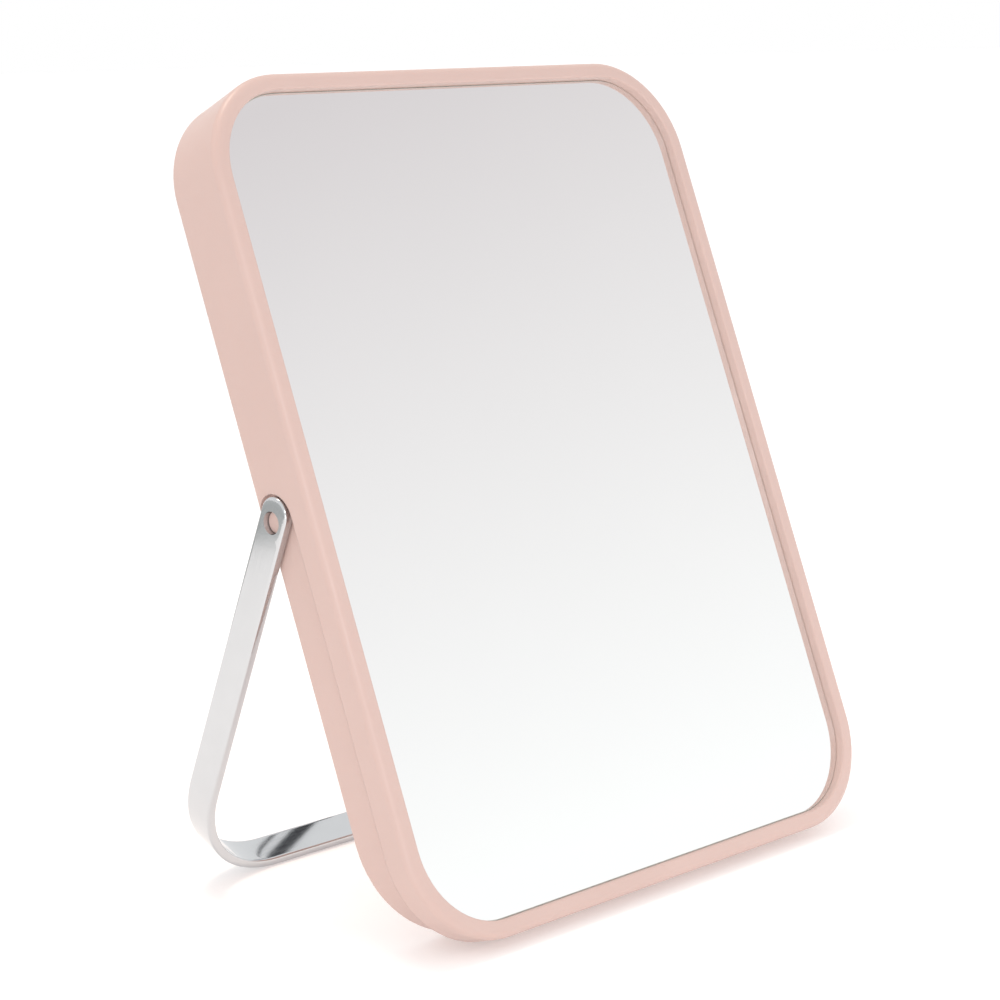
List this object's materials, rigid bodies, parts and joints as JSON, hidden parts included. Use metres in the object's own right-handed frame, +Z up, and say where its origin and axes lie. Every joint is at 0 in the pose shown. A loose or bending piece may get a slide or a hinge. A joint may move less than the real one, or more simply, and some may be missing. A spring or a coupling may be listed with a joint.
{
  "type": "table mirror",
  "caption": "Rectangular table mirror with rounded corners in a slim moulded frame; a U-shaped steel strap swings out behind it as a stand and folds flat around the frame.",
  "frame": {"origin": "middle of the bottom of the box of the mirror as it stands open, on the plane it stands on", "axes": "+Z up, -Y towards the person who looks into the mirror, +X to that person's right"},
  "size_m": [0.159, 0.0975, 0.1982],
  "materials": {
    "pink_shell": "satin",
    "mirror_silver": "polished",
    "film_white": "smooth",
    "foam_white": "matt",
    "strap_chrome": "polished",
    "screw_steel": "zinc plated"
  },
  "bodies": {
    "case": {"mirror_frame": "pink_shell", "mirror_glass": "mirror_silver", "safety_film": "film_white", "foam_tape_top": "foam_white", "foam_tape_bottom": "foam_white", "foam_tape_left": "foam_white", "foam_tape_right": "foam_white", "rear_cover": "pink_shell", "cover_screws": "screw_steel", "pivot_stud_left": "pink_shell", "pivot_stud_right": "pink_shell"},
    "stand": {"stand_strap": "strap_chrome"}
  },
  "joints": [
    {"name": "stand_fold", "type": "hinge", "parent": "case", "child": "stand", "pos_m": [0, 0.00161, 0.0971], "axis": [-1, 0, 0], "range_deg": [0, 45]}
  ]
}
